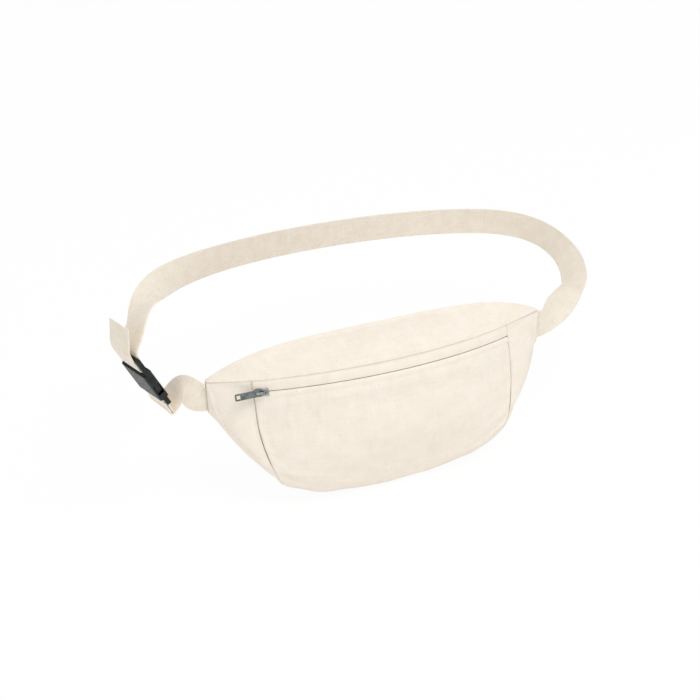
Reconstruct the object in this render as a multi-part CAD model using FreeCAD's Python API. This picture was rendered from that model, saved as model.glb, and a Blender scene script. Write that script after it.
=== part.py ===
import FreeCAD, Part
import math
import os

# Zipped canvas waist pouch on a webbing belt with a side-release buckle.
# Millimetres. +X to the wearer's left as seen from the front, +Y towards the wearer, +Z up.
# Origin: centre of the flat outer face of the back panel, which rests on the waist.

Vec = FreeCAD.Vector

# ---- driving dimensions: pouch ----
HALF_LENGTH = 172.0        # middle to tip
TIP_TOP = 46.0             # height of the tip's upper corner
TIP_BOTTOM = 12.0          # height of the tip's lower corner
TIP_DEPTH = 5.2            # front to back at the tip, round the sewn-in webbing
BACK_ARCH = 24.5           # rise of the back's upper edge above the tips
BACK_BOTTOM = -76.0        # lowest point of the back panel
CORNER_X = 109.0           # where the bottom turns up towards the tip
CORNER_Z = -63.0
BELLY_DEPTH = 70.0         # front of the belly to the back face
BELLY_Z = -18.0
KEEL_Z = -84.0             # lowest point of the rounded bottom
CANVAS = 1.2               # canvas thickness
SEAM_GAP = 0.3             # between pieces that are sewn together
CROWN = 5.0                # how far the top panel puffs up
SIDE_FULLNESS = 5.0        # how far the side panels puff out

# ---- driving dimensions: zip ----
ZIP_END_X = 131.6          # middle to each end of the zip
ZIP_MID_DEPTH = 57.0       # zip at the middle, measured from the back face
ZIP_MID_Z = 47.0
ZIP_RISE = 12.5            # how much higher the zip is at its middle than at its ends
ZIP_SET_BACK = 36.0        # how much closer to the back the zip's ends are
PLACKET = 11.0             # zip line to top seam
SEAM_TUCK = 2.7            # top edges of the walls stop this far under the top seam
BACK_TUCK = 2.8            # and that of the back, under the rear seam
LIP_GAP = 1.5              # between the two folded lips
TAPE = 0.6                 # zip tape thickness
TAPE_LOWER = 12.0          # tape width below the zip line
TAPE_UPPER = 7.6
COIL_DEPTH = 1.5
COIL_HEIGHT = 2.4
ZIP_CLEAR = 0.3

# ---- driving dimensions: slider and pull ----
SLIDER_LENGTH = 14.0
SLIDER_WIDTH = 8.6
SLIDER_PLATE = 1.3
SLIDER_NECK = 0.8          # thickness of the neck that runs between the lips
BRIDGE_LENGTH = 8.6
BRIDGE_WIDTH = 2.4
BRIDGE_HEIGHT = 3.6
PIN_R = 0.6                # bar of the pull that lies under the bridge
PULL_LENGTH = 25.0
PULL_WIDTH = 6.6
PULL_THICK = 1.1
PULL_WINDOW = 3.6          # square window at the pull's free end
PULL_LIFT = 28.0           # degrees that the pull stands off the canvas at rest

# ---- driving dimensions: webbing ----
WEB_WIDTH = 30.0
WEB = 1.6                  # webbing thickness
WEB_SEWN_IN = 9.0          # length of webbing inside each tip
TAIL_LENGTH = 30.0         # loose end of the belt past the ladder
LOOP_RETURN = 17.0         # folded-back length of the short webbing
STITCH = 0.4               # height of the stitching on the webbing
TACK_LENGTH = 2.0          # along the webbing
TACK_FROM_BAR = 9.0

# ---- driving dimensions: buckle ----
BUCKLE_X, BUCKLE_Y, BUCKLE_Z = -217.0, 3.0, 40.0   # middle of the female half's bar
BUCKLE_TURN = 21.0         # degrees that its width is turned from straight ahead
BUCKLE_LEAN = 26.0         # degrees that its length leans outward from upright
BUCKLE_WIDTH = 38.0
BUCKLE_THICK = 9.6
HOUSING_START = 7.0        # bar to housing
HOUSING_END = 36.0
SHOULDER = 6.0             # male half's shoulder outside the housing
LADDER = 20.0              # length of the ladder frame
BAR_R = 1.6
BUCKLE_WALL = 1.6
WINDOW_START = 14.0        # side windows of the housing
WINDOW_END = 27.0
PRONG_WIDTH = 3.4
PRONG_THICK = 5.0
FIT = 0.3                  # clearance between the buckle's pieces

os.makedirs("parts", exist_ok=True)


def save(name, shape):
    if shape.ShapeType == "Compound" and len(shape.Solids) == 1:
        shape = shape.Solids[0]
    shape.exportStep("parts/%s.step" % name)


# ---- the zip line: a flat arc, tilted so that its middle is higher than its ends ----
ZIP_SAG = math.hypot(ZIP_RISE, ZIP_SET_BACK)
ZIP_R = (ZIP_END_X ** 2 + ZIP_SAG ** 2) / (2 * ZIP_SAG)
ZIP_HALF_ANGLE = math.asin(ZIP_END_X / ZIP_R)
TILT = math.atan2(ZIP_RISE, ZIP_SET_BACK)
ZIP_OUT = Vec(0, -math.cos(TILT), math.sin(TILT))       # from the arc's centre to its middle
ZIP_UP = Vec(0, math.sin(TILT), math.cos(TILT))         # across the zip, towards the top seam
ZIP_CENTRE = Vec(0, -ZIP_MID_DEPTH, ZIP_MID_Z) - ZIP_OUT * ZIP_R


def zip_point(angle, up=0.0, inward=0.0):
    """A point of the zip band: angle from the middle, distance above the line, depth under its face."""
    radial = Vec(math.sin(angle), 0, 0) + ZIP_OUT * math.cos(angle)
    return ZIP_CENTRE + radial * (ZIP_R - inward) + ZIP_UP * up


def zip_band(low, high, front, back, half_angle):
    """A strip of the zip band between two heights and two depths."""
    corners = [(low, front), (high, front), (high, back), (low, back), (low, front)]
    wire = Part.makePolygon([zip_point(-half_angle, up, inward) for up, inward in corners])
    turn = math.degrees(2 * half_angle)
    return Part.Face(wire).revolve(ZIP_CENTRE, ZIP_UP, turn)


# ---- cloth and webbing: an outer and an inner skin of flat facets, closed at the edges ----
def grid_normals(grid):
    rows, columns = len(grid), len(grid[0])
    normals = []
    for i in range(rows):
        line = []
        for j in range(columns):
            across = grid[i][min(j + 1, columns - 1)] - grid[i][max(j - 1, 0)]
            along = grid[min(i + 1, rows - 1)][j] - grid[max(i - 1, 0)][j]
            line.append(along.cross(across).normalize())
        normals.append(line)
    return normals


def sampled(curve, count):
    first, span = curve.FirstParameter, curve.LastParameter - curve.FirstParameter
    return [curve.value(first + span * i / (count - 1)) for i in range(count)]


def smooth_through(points, count):
    curve = Part.BSplineCurve()
    curve.interpolate(points)
    return sampled(curve, count)


def smooth_towards(points, count):
    """A smooth line drawn towards its points, which starts and ends on the first and last of them."""
    degree = min(3, len(points) - 1)
    knots = [float(i) for i in range(len(points) - degree + 1)]
    ends = degree + 1
    curve = Part.BSplineCurve()
    curve.buildFromPolesMultsKnots(points, [ends] + [1] * (len(knots) - 2) + [ends], knots, False, degree)
    return sampled(curve, count)


def skinned(outer, inner):
    """The closed solid between two skins of the same grid."""
    rows, columns = len(outer), len(outer[0])
    points = [p for skin in (outer, inner) for row in skin for p in row]

    def at(skin, i, j):
        return (skin * rows + i) * columns + j

    loops = []
    for i in range(rows - 1):
        for j in range(columns - 1):
            loops.append([at(0, i, j), at(0, i, j + 1), at(0, i + 1, j + 1), at(0, i + 1, j)])
            loops.append([at(1, i, j), at(1, i + 1, j), at(1, i + 1, j + 1), at(1, i, j + 1)])
    for i in range(rows - 1):
        for j, turn in ((0, 1), (columns - 1, -1)):
            rim = [at(0, i, j), at(0, i + 1, j), at(1, i + 1, j), at(1, i, j)]
            loops.append(rim if turn == 1 else [rim[0], rim[3], rim[2], rim[1]])
    for j in range(columns - 1):
        for i, turn in ((0, 1), (rows - 1, -1)):
            rim = [at(0, i, j), at(1, i, j), at(1, i, j + 1), at(0, i, j + 1)]
            loops.append(rim if turn == 1 else [rim[0], rim[3], rim[2], rim[1]])
    facets = [f for a, b, c, d in loops for f in ((a, b, c), (a, c, d))]
    shape = Part.Shape()
    shape.makeShapeFromMesh((points, facets), 1e-5)
    solid = Part.Solid(shape.Shells[0] if shape.Shells else shape)
    if solid.Volume < 0:
        solid.reverse()
    return solid


def panel(grid, rear_rows, shared_first=None, shared_last=None):
    """A canvas panel. Its rear rows end square to the back; the shared directions are those of a common seam."""
    normals = grid_normals(grid)
    for column, shared in ((0, shared_first), (-1, shared_last)):
        for row, direction in zip(reversed(normals), reversed(shared or [])):
            row[column] = direction
    for row in rear_rows:
        normals[row] = [Vec(n.x, 0, n.z).normalize() * n.Length for n in normals[row]]
    inner = [[p - n * CANVAS for p, n in zip(*rows)] for rows in zip(grid, normals)]
    return skinned(grid, inner)


def mitred(a, b):
    """The direction in which two canvas edges meet, long enough to keep their thickness."""
    half = (a + b).normalize()
    return half * (1 / half.dot(a))


def mix(a, b, t):
    return a + (b - a) * t


def mirrored(shape):
    return shape.mirror(Vec(0, 0, 0), Vec(1, 0, 0))


# ---- outline curves of the pouch ----
REAR = -(CANVAS + SEAM_GAP)                 # where the walls meet the back panel
END_UP = PLACKET - SEAM_TUCK


def back_top(x):
    return TIP_TOP + BACK_ARCH * (1 - abs(x / HALF_LENGTH) ** 4)


def back_bottom(x):
    if abs(x) > CORNER_X:
        share = (abs(x) - CORNER_X) / (HALF_LENGTH - CORNER_X)
        return CORNER_Z + (TIP_BOTTOM - CORNER_Z) * share
    return CORNER_Z - (CORNER_Z - BACK_BOTTOM) * (1 - abs(x / CORNER_X) ** 3)


def top_seam(x):
    """The front edge of the top panel: along the zip, then straight to the tip."""
    if abs(x) <= ZIP_END_X:
        return zip_point(math.asin(x / ZIP_R), PLACKET)
    end = zip_point(math.copysign(ZIP_HALF_ANGLE, x), PLACKET)
    tip = Vec(math.copysign(HALF_LENGTH, x), -TIP_DEPTH, TIP_TOP)
    return mix(end, tip, (abs(x) - ZIP_END_X) / (HALF_LENGTH - ZIP_END_X))


# Section of the pouch at its middle and along the slanted side seam, from the zip line to the back.
KEEL_SPAN = ZIP_MID_Z - KEEL_Z
ZIP_LOW = TAPE_LOWER + 1.0
MIDDLE = [
    zip_point(0, -LIP_GAP / 2),
    zip_point(0, -ZIP_LOW),
    Vec(0, -(BELLY_DEPTH - 2.5), BELLY_Z + 26),
    Vec(0, -BELLY_DEPTH, BELLY_Z),
    Vec(0, -(BELLY_DEPTH - 6), BELLY_Z - 31),
    Vec(0, -(BELLY_DEPTH - 23), KEEL_Z + 3),
    Vec(0, -22, KEEL_Z),
    Vec(0, REAR, BACK_BOTTOM),
]
SIDE_X = CORNER_X + 19
SIDE_SEAM = [
    zip_point(ZIP_HALF_ANGLE, -LIP_GAP / 2),
    zip_point(ZIP_HALF_ANGLE, -ZIP_LOW),
    Vec(ZIP_END_X, -31, 0),
    Vec(SIDE_X, -39, -24),
    Vec(CORNER_X + 12, -46, -48),
    Vec(CORNER_X + 5, -41, CORNER_Z - 1),
    Vec(CORNER_X + 1, -20, CORNER_Z - 5),
    Vec(CORNER_X, REAR, CORNER_Z),
]


FRONT_ROWS, FRONT_COLUMNS, SIDE_COLUMNS = 18, 25, 7
BAND_ROWS = 2              # rows of the front that lie flat along the zip


def section_line(points):
    """A section of the pouch: straight along the zip, then one smooth curve to the back."""
    return [points[0], mix(points[0], points[1], 0.5)] + smooth_through(points[1:], FRONT_ROWS - BAND_ROWS)


MIDDLE_LINE = section_line(MIDDLE)
SEAM_LINE = section_line(SIDE_SEAM)


def front_grid():
    """Rows from the zip line to the back, columns from the left seam to the right one."""
    grid = []
    for row, (middle, side) in enumerate(zip(MIDDLE_LINE, SEAM_LINE)):
        squareness = max(0, row - BAND_ROWS) / (FRONT_ROWS - 1 - BAND_ROWS)
        line = []
        for j in range(FRONT_COLUMNS):
            u = -1 + 2 * j / (FRONT_COLUMNS - 1)
            round_part = (1 - math.cos(ZIP_HALF_ANGLE * u)) / (1 - math.cos(ZIP_HALF_ANGLE))
            share = mix(round_part, abs(u) ** 4, squareness)
            x = side.x * math.sin(ZIP_HALF_ANGLE * u) / math.sin(ZIP_HALF_ANGLE)
            line.append(Vec(x, mix(middle.y, side.y, share), mix(middle.z, side.z, share)))
        grid.append(line)
    return grid


def side_grid():
    """Rows from the top seam to the back, columns from the side seam to the tip."""
    seam = [zip_point(ZIP_HALF_ANGLE, END_UP)] + SEAM_LINE
    last = len(seam) - 1
    grid = []
    for i, start in enumerate(seam):
        z = mix(TIP_TOP - SEAM_TUCK, TIP_BOTTOM, min(1, i / (last - 1)))
        depth = -TIP_DEPTH if i < last else REAR
        end = Vec(HALF_LENGTH, depth, z)
        out = Vec(0.55, -0.65, -0.5) * (SIDE_FULLNESS * math.sin(math.pi * i / last))
        shares = [j / (SIDE_COLUMNS - 1) for j in range(SIDE_COLUMNS)]
        grid.append([mix(start, end, t) + out * (4 * t * (1 - t)) for t in shares])
    return grid


def top_grid():
    half = [0, 22, 44, 66, 88, 110, ZIP_END_X, 145, 159, HALF_LENGTH]
    stations = [-x for x in reversed(half[1:])] + half
    rows = 8
    grid = []
    for i in range(rows):
        v = i / (rows - 1)
        line = []
        for x in stations:
            front = top_seam(x)
            rear = Vec(front.x, 0, back_top(x))
            rise = CROWN * 4 * v * (1 - v) * abs(front.y) / ZIP_MID_DEPTH
            line.append(mix(rear, front, v) + Vec(0, 0, rise))
        grid.append(line)
    return grid


# The front and the sides meet in a mitre along the side seams.
FRONT, SIDE = front_grid(), side_grid()
FRONT_EDGE = [row[-1] for row in grid_normals(FRONT)]
SIDE_EDGE = [row[0] for row in grid_normals(SIDE)][1:]
MITRE = [mitred(a, b) for a, b in zip(FRONT_EDGE, SIDE_EDGE)]
MITRE_LEFT = [Vec(-m.x, m.y, m.z) for m in MITRE]


def back_panel():
    xs = [HALF_LENGTH * i / 8 for i in range(-8, 9)]
    top = [Vec(x, 0, back_top(x) - BACK_TUCK) for x in xs]
    bottom = [Vec(x, 0, back_bottom(x)) for x in (-CORNER_X, -60, 0, 60, CORNER_X)]
    curve_top, curve_bottom = Part.BSplineCurve(), Part.BSplineCurve()
    curve_top.interpolate(top)
    curve_bottom.interpolate(bottom)
    tips = [Vec(s * HALF_LENGTH, 0, TIP_BOTTOM) for s in (-1, 1)]
    edges = [
        curve_top.toShape(),
        Part.makeLine(top[-1], tips[1]),
        Part.makeLine(tips[1], bottom[-1]),
        curve_bottom.toShape(),
        Part.makeLine(bottom[0], tips[0]),
        Part.makeLine(tips[0], top[0]),
    ]
    return Part.Face(Part.Wire(Part.__sortEdges__(edges))).extrude(Vec(0, -CANVAS, 0))


side_panel = panel(SIDE, [-1], shared_first=MITRE)
save("front_panel", panel(FRONT, [-1], shared_first=MITRE_LEFT, shared_last=MITRE))
save("side_panel_right", side_panel)
save("side_panel_left", mirrored(side_panel))
save("top_panel", panel(top_grid(), [0]))
save("back_panel", back_panel())
END_GAP = (CANVAS + SEAM_GAP) / ZIP_R
BEHIND = CANVAS + ZIP_CLEAR
save("zip_placket", zip_band(LIP_GAP / 2, END_UP, 0, CANVAS, ZIP_HALF_ANGLE - SEAM_GAP / ZIP_R))
save("zip_tape_upper", zip_band(LIP_GAP / 2, TAPE_UPPER, BEHIND, BEHIND + TAPE, ZIP_HALF_ANGLE - END_GAP))
save("zip_tape_lower", zip_band(-TAPE_LOWER, -LIP_GAP / 2, BEHIND, BEHIND + TAPE, ZIP_HALF_ANGLE - END_GAP))
COIL_FRONT = BEHIND + TAPE
COIL_BACK = COIL_FRONT + COIL_DEPTH
save("zip_coil_upper", zip_band(LIP_GAP / 2, LIP_GAP / 2 + COIL_HEIGHT, COIL_FRONT, COIL_BACK,
                                ZIP_HALF_ANGLE - END_GAP))
save("zip_coil_lower", zip_band(-LIP_GAP / 2 - COIL_HEIGHT, -LIP_GAP / 2, COIL_FRONT, COIL_BACK,
                                ZIP_HALF_ANGLE - END_GAP))


# ---- slider and pull: x along the zip, y across it, z outward ----
SLIDER_REST = -(ZIP_HALF_ANGLE - (SLIDER_LENGTH / 2 + CANVAS + SEAM_GAP) / ZIP_R)
PLATE_TOP = ZIP_CLEAR + SLIDER_PLATE
PIN_Z = PLATE_TOP + PIN_R + ZIP_CLEAR


def placed(shape, origin, x_dir, y_dir, z_dir):
    matrix = FreeCAD.Matrix(
        x_dir.x, y_dir.x, z_dir.x, origin.x,
        x_dir.y, y_dir.y, z_dir.y, origin.y,
        x_dir.z, y_dir.z, z_dir.z, origin.z,
        0, 0, 0, 1)
    moved = shape.copy()
    moved.transformShape(matrix, True)
    return moved


def box(x0, x1, y0, y1, z0, z1):
    return Part.makeBox(x1 - x0, y1 - y0, z1 - z0, Vec(x0, y0, z0))


def prism(points, z0, z1):
    wire = Part.makePolygon([Vec(x, y, z0) for x, y in points + points[:1]])
    return Part.Face(wire).extrude(Vec(0, 0, z1 - z0))


def on_slider(shape):
    radial = Vec(math.sin(SLIDER_REST), 0, 0) + ZIP_OUT * math.cos(SLIDER_REST)
    along = Vec(math.cos(SLIDER_REST), 0, 0) - ZIP_OUT * math.sin(SLIDER_REST)
    return placed(shape, zip_point(SLIDER_REST), along, ZIP_UP, radial)


def slider():
    half, wide = SLIDER_LENGTH / 2, SLIDER_WIDTH / 2
    outline = [(-half, -wide * 0.7), (-half * 0.5, -wide), (half * 0.6, -wide * 0.8), (half, -wide * 0.95),
               (half, wide * 0.95), (half * 0.6, wide * 0.8), (-half * 0.5, wide), (-half, wide * 0.7)]
    front = prism(outline, ZIP_CLEAR, PLATE_TOP)
    front = front.makeFillet(SLIDER_PLATE * 0.3, [e for e in front.Edges if e.BoundBox.ZMin > PLATE_TOP - 0.01])
    back_z = -(COIL_BACK + ZIP_CLEAR)
    back = prism(outline, back_z - SLIDER_PLATE, back_z)
    neck = box(-half * 0.85, -half * 0.2, -SLIDER_NECK / 2, SLIDER_NECK / 2, back_z, ZIP_CLEAR)
    bridge = box(-BRIDGE_LENGTH / 2, BRIDGE_LENGTH / 2, -BRIDGE_WIDTH / 2, BRIDGE_WIDTH / 2,
                 PLATE_TOP - 0.2, PLATE_TOP + BRIDGE_HEIGHT)
    bridge = bridge.makeFillet(BRIDGE_HEIGHT * 0.4, [e for e in bridge.Edges
                               if e.BoundBox.ZMin > PLATE_TOP + 1 and e.BoundBox.YLength > 1])
    hole = box(-BRIDGE_LENGTH / 2 + 1, BRIDGE_LENGTH / 2 - 1, -BRIDGE_WIDTH, BRIDGE_WIDTH,
               PLATE_TOP, PLATE_TOP + BRIDGE_HEIGHT - 1)
    return on_slider(front.fuse([neck, back, bridge.cut(hole)]).removeSplitter())


def pull():
    """x runs from the pin towards the free end; the pin lies under the bridge."""
    reach = math.hypot(BRIDGE_LENGTH / 2, BRIDGE_HEIGHT - PIN_R) + ZIP_CLEAR
    inner = BRIDGE_WIDTH / 2 + ZIP_CLEAR
    outer = PULL_WIDTH / 2
    half = PULL_THICK / 2
    plate = box(reach, PULL_LENGTH, -outer, outer, -half, half)
    plate = plate.makeFillet(1.2, [e for e in plate.Edges if e.BoundBox.ZLength > half
                                   and e.BoundBox.XMin > reach + 1])
    pin = Part.makeCylinder(PIN_R, 2 * outer, Vec(0, -outer, 0), Vec(0, 1, 0))
    arms = [box(0, reach + 0.1, s * (inner + outer) / 2 - (outer - inner) / 2,
                s * (inner + outer) / 2 + (outer - inner) / 2, -half, half) for s in (-1, 1)]
    body = plate.fuse([pin] + arms)
    rim = (PULL_WIDTH - PULL_WINDOW) / 2
    window = box(PULL_LENGTH - rim - PULL_WINDOW, PULL_LENGTH - rim, -PULL_WINDOW / 2, PULL_WINDOW / 2, -1, 1)
    body = body.cut(window).removeSplitter()
    lift = math.radians(PULL_LIFT)
    x_dir = Vec(-math.cos(lift), 0, math.sin(lift))
    z_dir = Vec(math.sin(lift), 0, math.cos(lift))
    body = placed(body, Vec(0, 0, PIN_Z), x_dir, z_dir.cross(x_dir), z_dir)
    return on_slider(body)


save("zip_slider", slider())
save("zip_pull", pull())


# ---- buckle: x across the webbing, y along it from the female bar to the ladder, z outward ----
TURN, LEAN = math.radians(BUCKLE_TURN), math.radians(BUCKLE_LEAN)
ACROSS = Vec(math.sin(TURN), -math.cos(TURN), 0)
LEFTWARD = Vec(-math.cos(TURN), -math.sin(TURN), 0)
LENGTHWAYS = LEFTWARD * math.sin(LEAN) + Vec(0, 0, math.cos(LEAN))
OUTWARD = ACROSS.cross(LENGTHWAYS)
BUCKLE = Vec(BUCKLE_X, BUCKLE_Y, BUCKLE_Z)


def on_buckle(shape):
    return placed(shape, BUCKLE, ACROSS, LENGTHWAYS, OUTWARD)


def buckle_point(x, y, z):
    return BUCKLE + ACROSS * x + LENGTHWAYS * y + OUTWARD * z


HALF_W = BUCKLE_WIDTH / 2
HALF_T = BUCKLE_THICK / 2
SLOT_HALF = WEB_WIDTH / 2 + 0.6
RAIL_T = 2.2
MALE_START = HOUSING_END + FIT
LADDER_START = MALE_START + SHOULDER
INNER_BAR = LADDER_START + 6.0
END_BAR = LADDER_START + LADDER - BAR_R


def rounded_block(y0, y1, half_width, half_thick, radius):
    block = box(-half_width, half_width, y0, y1, -half_thick, half_thick)
    edges = [e for e in block.Edges if e.BoundBox.YLength > 1]
    return block.makeFillet(radius, edges)


def bar_across(y, half_width):
    return Part.makeCylinder(BAR_R, 2 * half_width, Vec(-half_width, y, 0), Vec(1, 0, 0))


def frame_rails(y0, y1):
    return [box(min(s * SLOT_HALF, s * HALF_W), max(s * SLOT_HALF, s * HALF_W), y0, y1, -RAIL_T, RAIL_T)
            for s in (-1, 1)]


def female():
    housing = rounded_block(HOUSING_START, HOUSING_END, HALF_W, HALF_T, 3.0)
    inner = HALF_W - BUCKLE_WALL
    cavity = box(-inner, inner, HOUSING_START + BUCKLE_WALL, HOUSING_END + 1,
                 -HALF_T + BUCKLE_WALL, HALF_T - BUCKLE_WALL)
    windows = box(-HALF_W - 1, HALF_W + 1, WINDOW_START, WINDOW_END,
                  -HALF_T + BUCKLE_WALL, HALF_T - BUCKLE_WALL)
    frame = frame_rails(-BAR_R, HOUSING_START + 0.5) + [bar_across(0, HALF_W)]
    return housing.fuse(frame).cut(cavity.fuse(windows)).removeSplitter()


def male():
    shoulder = rounded_block(MALE_START, LADDER_START, HALF_W, HALF_T, 3.0)
    tongue = box(-2.6, 2.6, WINDOW_START + 3, MALE_START + 0.5, -1.8, 1.8)
    rails = frame_rails(LADDER_START - 0.5, END_BAR + BAR_R)
    bars = [bar_across(INNER_BAR, HALF_W - 1), bar_across(END_BAR, HALF_W)]
    return shoulder.fuse([tongue] + rails + bars).removeSplitter()


PRONG_X = HALF_W - BUCKLE_WALL - FIT - PRONG_WIDTH / 2      # middle of the arm
PRONG_PIVOT = HOUSING_END - PRONG_WIDTH / 2


def prong(side):
    inner, outer = PRONG_X - PRONG_WIDTH / 2, PRONG_X + PRONG_WIDTH / 2
    barb = HALF_W - FIT
    stop = WINDOW_END - FIT
    tip = WINDOW_START + FIT
    outline = [(inner, PRONG_PIVOT), (outer, PRONG_PIVOT), (outer, stop), (barb, stop), (barb, stop - 3),
               (barb - 1, stop - 7), (outer, tip + 1.2), (outer - 1.6, tip), (inner, tip + 1.5)]
    arm = prism([(side * x, y) for x, y in outline], -PRONG_THICK / 2, PRONG_THICK / 2)
    root = Part.makeCylinder(PRONG_WIDTH / 2, PRONG_THICK, Vec(side * PRONG_X, PRONG_PIVOT, -PRONG_THICK / 2))
    return arm.fuse(root).removeSplitter()


save("buckle_female", on_buckle(female()))
save("buckle_male", on_buckle(male()))
save("prong_front", on_buckle(prong(1)))
save("prong_rear", on_buckle(prong(-1)))


# ---- webbing: a strip led by stations of (middle, direction across it) ----
SPAN_FACETS = 3
STEP = 30                  # degrees between the stations of a turn round a bar


def strip(stations):
    """Webbing along stations; each width is squared to the route."""
    edges = {(face, side): [] for face in (1, -1) for side in (1, -1)}
    last = len(stations) - 1
    for i, (middle, across) in enumerate(stations):
        along = (stations[min(i + 1, last)][0] - stations[max(i - 1, 0)][0]).normalize()
        across = (across - along * across.dot(along)).normalize()
        normal = along.cross(across)
        for (face, side), points in edges.items():
            points.append(middle + normal * (face * WEB / 2) + across * (side * WEB_WIDTH / 2))
    count = SPAN_FACETS * last + 1
    lines = {key: smooth_towards(points, count) for key, points in edges.items()}
    return skinned(*[list(zip(lines[face, 1], lines[face, -1])) for face in (1, -1)])


# Distance of the webbing's middle layer from the middle of the bar that it runs round.
WRAP = BAR_R + FIT + WEB / 2
ACROSS_BACK = ACROSS * -1


def half_turn(y, start, turn):
    """Stations round the bar at y, from an angle in degrees, seen along the bar."""
    angles = [math.radians(start + turn * i) for i in range(0, 180 + STEP, STEP)]
    return [(buckle_point(0, y + WRAP * math.cos(a), WRAP * math.sin(a)), ACROSS_BACK) for a in angles]


WEBBING_Y = -(CANVAS + (TIP_DEPTH - 2 * CANVAS) / 2)
TIP_Z = (TIP_TOP + TIP_BOTTOM) / 2
UPRIGHT = Vec(0, 0, 1)


def into_tip(side, across):
    """Webbing that enters a tip and is sewn in there."""
    distances = (8, 4, 0, -WEB_SEWN_IN / 2, -WEB_SEWN_IN)
    return [(Vec(side * (HALF_LENGTH + d), WEBBING_Y, TIP_Z), across) for d in distances]


def belt():
    ladder_top = END_BAR + BAR_R + 1
    tail = [(ladder_top + TAIL_LENGTH, WRAP - 14), (ladder_top + 0.7 * TAIL_LENGTH, WRAP - 9),
            (ladder_top + 0.45 * TAIL_LENGTH, WRAP - 4), (ladder_top + 8, WRAP - 1),
            (ladder_top + 2, WRAP), (ladder_top - 5, WRAP), (INNER_BAR + 6, WRAP)]
    stations = [(buckle_point(0, y, z), ACROSS_BACK) for y, z in tail]
    stations += half_turn(INNER_BAR, 90, 1)
    stations += [(buckle_point(0, y, -WRAP), ACROSS_BACK) for y in (INNER_BAR + 6, ladder_top - 5, ladder_top + 3)]
    # The loop behind the pouch, from the ladder round the wearer; it turns over before the right tip.
    stations += [
        (Vec(-236, -3, 108), Vec(-0.35, 0.93, -0.05)),
        (Vec(-228, 6, 116), Vec(-0.28, 0.88, -0.30)),
        (Vec(-221, 19, 122), Vec(-0.20, 0.93, -0.25)),
        (Vec(-210, 38, 125), Vec(-0.05, 0.95, 0.0)),
        (Vec(-192, 71, 117), Vec(0.03, 0.80, 0.50)),
        (Vec(-160, 112, 104), Vec(0.10, 0.25, 0.95)),
        (Vec(-104, 162, 85), Vec(0.10, 0.0, 1.0)),
        (Vec(-22, 203, 67), Vec(0.10, 0.0, 1.0)),
        (Vec(70, 229, 51), Vec(0.05, 0.0, 1.0)),
        (Vec(156, 233, 41), Vec(0.0, 0.0, 1.0)),
        (Vec(224, 212, 39), Vec(0.05, -0.05, 1.0)),
        (Vec(258, 180, 37), Vec(0.15, -0.10, 1.0)),
        (Vec(268, 140, 35), Vec(0.35, -0.15, 0.90)),
        (Vec(265, 98, 32), Vec(0.75, -0.20, 0.60)),
        (Vec(251, 60, 30), Vec(0.95, -0.35, 0.05)),
        (Vec(226, 30, 30), Vec(0.65, -0.55, -0.50)),
        (Vec(201, 9, 30), Vec(0.30, -0.50, -0.80)),
    ]
    return strip(stations + into_tip(1, UPRIGHT * -1))


def short_web():
    """Folded round the female bar, sewn to itself, then twisted upright into the left tip."""
    upper = WRAP
    lower = WRAP - WEB - SEAM_GAP
    closing = -TACK_FROM_BAR + 1
    returned = [(lower, -LOOP_RETURN), (lower, -LOOP_RETURN + 3), (lower, closing), (0, closing / 2), (-WRAP, -1)]
    stations = [(buckle_point(0, y, z), ACROSS_BACK) for y, z in returned]
    stations += half_turn(0, 180, -1)
    stations += [(buckle_point(0, upper, z), ACROSS_BACK) for z in (-5, -10, -15, -LOOP_RETURN - 3)]
    stations += [(Vec(-HALF_LENGTH - 19, 6, TIP_Z + 18), Vec(0.10, 0.80, 0.60)),
                 (Vec(-HALF_LENGTH - 13, -1, TIP_Z + 7), Vec(0.0, 0.25, 0.95))]
    return strip(stations + into_tip(-1, UPRIGHT))


def tack():
    """The row of stitches across the folded end."""
    half = WEB_WIDTH / 2 - 2
    face = WRAP + WEB / 2
    return on_buckle(box(-half, half, face + 0.1, face + STITCH, -TACK_FROM_BAR - TACK_LENGTH, -TACK_FROM_BAR))


save("belt_web", belt())
save("short_web", short_web())
save("short_web_tack", tack())
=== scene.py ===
import math

import bmesh
import bpy
import numpy as np
from mathutils import Matrix, Vector, noise


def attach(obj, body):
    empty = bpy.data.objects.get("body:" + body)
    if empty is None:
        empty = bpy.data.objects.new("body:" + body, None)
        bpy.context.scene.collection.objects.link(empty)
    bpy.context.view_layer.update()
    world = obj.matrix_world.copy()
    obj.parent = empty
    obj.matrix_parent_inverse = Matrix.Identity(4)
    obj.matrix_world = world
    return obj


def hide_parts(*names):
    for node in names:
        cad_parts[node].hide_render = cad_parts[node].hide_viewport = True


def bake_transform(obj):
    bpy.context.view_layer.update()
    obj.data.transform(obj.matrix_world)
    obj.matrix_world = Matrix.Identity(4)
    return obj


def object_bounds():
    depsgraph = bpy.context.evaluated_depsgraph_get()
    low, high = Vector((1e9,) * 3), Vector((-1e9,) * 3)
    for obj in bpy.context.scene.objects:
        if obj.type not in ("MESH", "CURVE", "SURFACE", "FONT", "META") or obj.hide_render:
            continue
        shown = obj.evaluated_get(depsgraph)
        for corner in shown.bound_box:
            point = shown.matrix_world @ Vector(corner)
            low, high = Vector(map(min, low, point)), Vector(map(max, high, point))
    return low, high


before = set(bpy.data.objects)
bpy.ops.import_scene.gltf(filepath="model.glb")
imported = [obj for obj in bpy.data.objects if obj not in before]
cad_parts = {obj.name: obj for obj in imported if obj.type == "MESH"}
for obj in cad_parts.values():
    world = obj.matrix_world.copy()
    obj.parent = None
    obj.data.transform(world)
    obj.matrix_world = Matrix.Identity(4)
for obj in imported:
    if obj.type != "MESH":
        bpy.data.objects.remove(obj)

cad_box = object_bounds()

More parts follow.
